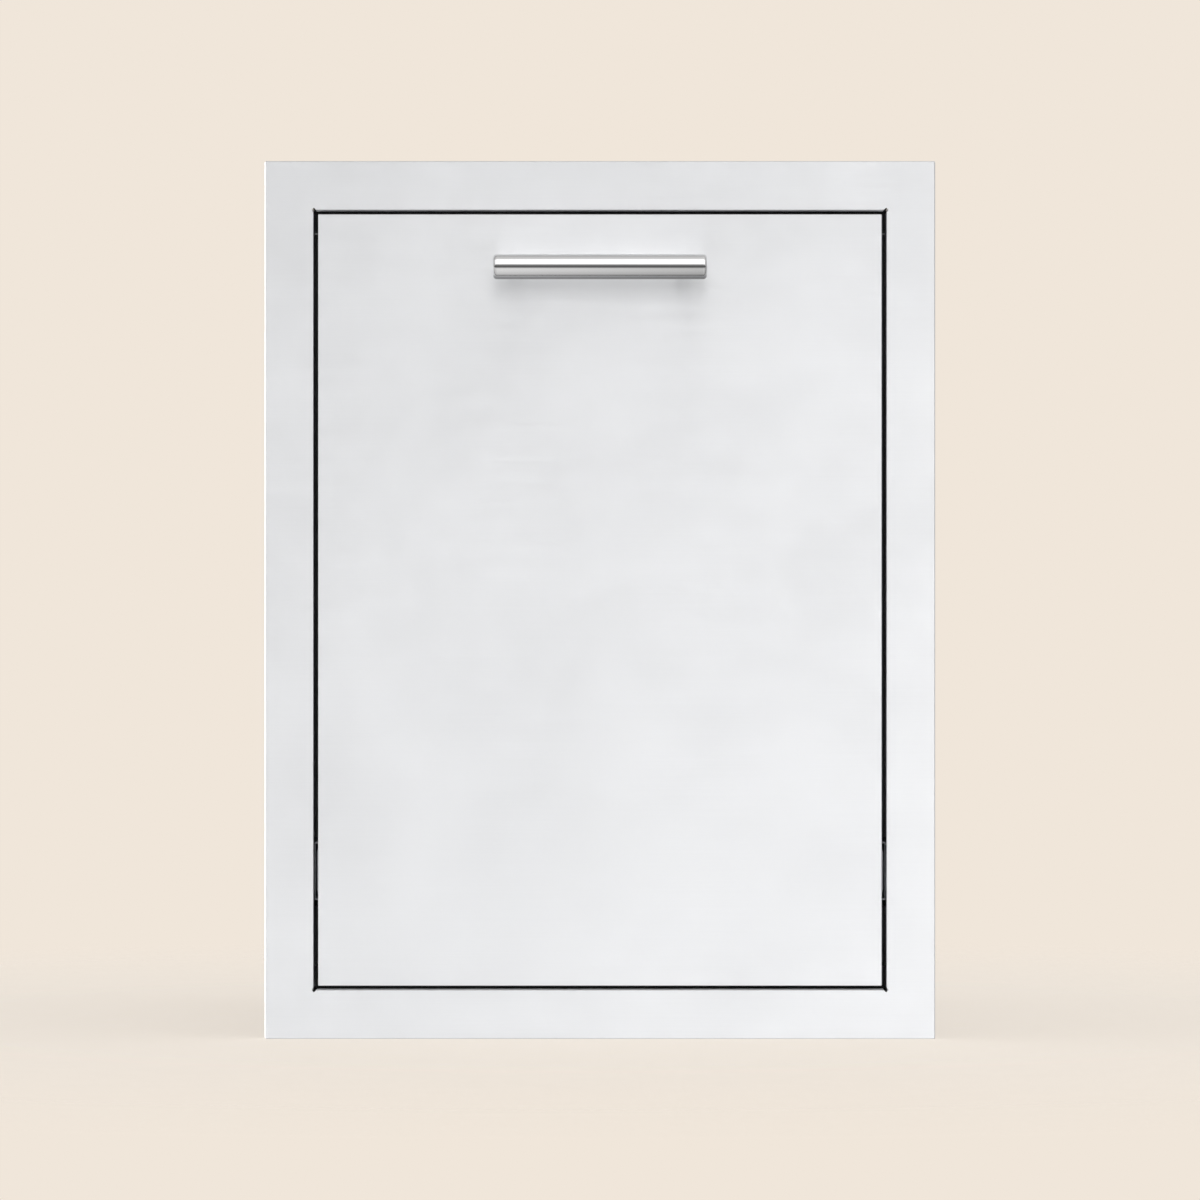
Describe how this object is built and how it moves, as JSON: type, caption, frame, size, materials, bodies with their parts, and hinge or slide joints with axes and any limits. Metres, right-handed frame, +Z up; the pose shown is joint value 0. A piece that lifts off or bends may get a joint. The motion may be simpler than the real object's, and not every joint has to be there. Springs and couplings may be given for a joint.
{
  "type": "trash and recycling drawer",
  "caption": "Built-in outdoor-kitchen drawer: a steel face frame and housing, an inset front with a round bar handle, full-extension slides and lift-out trash and recycling bins.",
  "frame": {"origin": "middle of the face frame's opening, on the plane where the frame's hem seats on the island's face", "axes": "+X to the right seen from the front, +Y into the island, +Z up"},
  "size_m": [0.514, 0.6015, 0.673],
  "materials": {
    "brushed_face": "satin brushed stainless steel",
    "sheet_steel": "mill-finish stainless sheet",
    "coated_steel": "black powder coat on steel",
    "handle_steel": "polished stainless bar",
    "slide_steel": "zinc-plated steel",
    "cage_steel": "plated strip",
    "ball_steel": "polished bearing steel",
    "rivet_steel": "stainless rivet",
    "screw_steel": "stainless screw",
    "bumper_rubber": "black rubber",
    "buffer_plastic": "black moulded plastic",
    "plug_plastic": "grey moulded plastic",
    "trash_plastic": "charcoal moulded plastic",
    "recycling_plastic": "blue moulded plastic"
  },
  "bodies": {
    "housing": {"face_frame": "brushed_face", "housing_left_side": "sheet_steel", "housing_right_side": "sheet_steel", "housing_floor": "sheet_steel", "housing_back": "sheet_steel", "front_top_stretcher": "coated_steel", "front_bottom_stretcher": "coated_steel", "rear_top_stretcher": "sheet_steel", "left_stop_stiles": "coated_steel", "right_stop_stiles": "coated_steel", "closing_bumpers": "bumper_rubber", "frame_rivets": "rivet_steel", "housing_rivets": "rivet_steel", "left_slide_cabinet_member": "slide_steel", "right_slide_cabinet_member": "slide_steel", "slide_cabinet_rivets": "rivet_steel", "slide_end_buffers": "buffer_plastic"},
    "drawer": {"front_skin": "brushed_face", "front_liner": "sheet_steel", "access_plugs": "plug_plastic", "handle_bar": "handle_steel", "handle_posts": "handle_steel", "handle_washers": "screw_steel", "handle_screws": "screw_steel", "drawer_tray": "sheet_steel", "left_gusset": "sheet_steel", "right_gusset": "sheet_steel", "gusset_rivets": "rivet_steel", "front_screws": "screw_steel", "bin_divider": "sheet_steel", "left_slide_drawer_member": "slide_steel", "right_slide_drawer_member": "slide_steel", "slide_drawer_screws": "screw_steel"},
    "left_middle": {"left_slide_middle_member": "slide_steel"},
    "left_outer_cage": {"left_outer_ball_cage": "cage_steel", "left_outer_balls": "ball_steel"},
    "left_inner_cage": {"left_inner_ball_cage": "cage_steel", "left_inner_balls": "ball_steel"},
    "right_middle": {"right_slide_middle_member": "slide_steel"},
    "right_outer_cage": {"right_outer_ball_cage": "cage_steel", "right_outer_balls": "ball_steel"},
    "right_inner_cage": {"right_inner_ball_cage": "cage_steel", "right_inner_balls": "ball_steel"},
    "trash_bin": {"trash_bin": "trash_plastic"},
    "recycling_bin": {"recycling_bin": "recycling_plastic"}
  },
  "joints": [
    {"name": "drawer_slide", "type": "slide", "parent": "housing", "child": "drawer", "axis": [0, -1, 0], "range_m": [0, 0.5]},
    {"name": "left_middle_slide", "type": "slide", "parent": "housing", "child": "left_middle", "axis": [0, -1, 0], "range_m": [0, 0.25]},
    {"name": "left_outer_cage_slide", "type": "slide", "parent": "housing", "child": "left_outer_cage", "axis": [0, -1, 0], "range_m": [0, 0.125]},
    {"name": "left_inner_cage_slide", "type": "slide", "parent": "housing", "child": "left_inner_cage", "axis": [0, -1, 0], "range_m": [0, 0.375]},
    {"name": "right_middle_slide", "type": "slide", "parent": "housing", "child": "right_middle", "axis": [0, -1, 0], "range_m": [0, 0.25]},
    {"name": "right_outer_cage_slide", "type": "slide", "parent": "housing", "child": "right_outer_cage", "axis": [0, -1, 0], "range_m": [0, 0.125]},
    {"name": "right_inner_cage_slide", "type": "slide", "parent": "housing", "child": "right_inner_cage", "axis": [0, -1, 0], "range_m": [0, 0.375]},
    {"name": "trash_bin_lift", "type": "slide", "parent": "drawer", "child": "trash_bin", "axis": [0, 0, 1], "range_m": [0, 0.35]},
    {"name": "recycling_bin_lift", "type": "slide", "parent": "drawer", "child": "recycling_bin", "axis": [0, 0, 1], "range_m": [0, 0.35]}
  ],
  "couplings": [
    {"joint": "left_middle_slide", "follows": "drawer_slide", "ratio": 0.5},
    {"joint": "left_outer_cage_slide", "follows": "drawer_slide", "ratio": 0.25},
    {"joint": "left_inner_cage_slide", "follows": "drawer_slide", "ratio": 0.75},
    {"joint": "right_middle_slide", "follows": "drawer_slide", "ratio": 0.5},
    {"joint": "right_outer_cage_slide", "follows": "drawer_slide", "ratio": 0.25},
    {"joint": "right_inner_cage_slide", "follows": "drawer_slide", "ratio": 0.75}
  ]
}
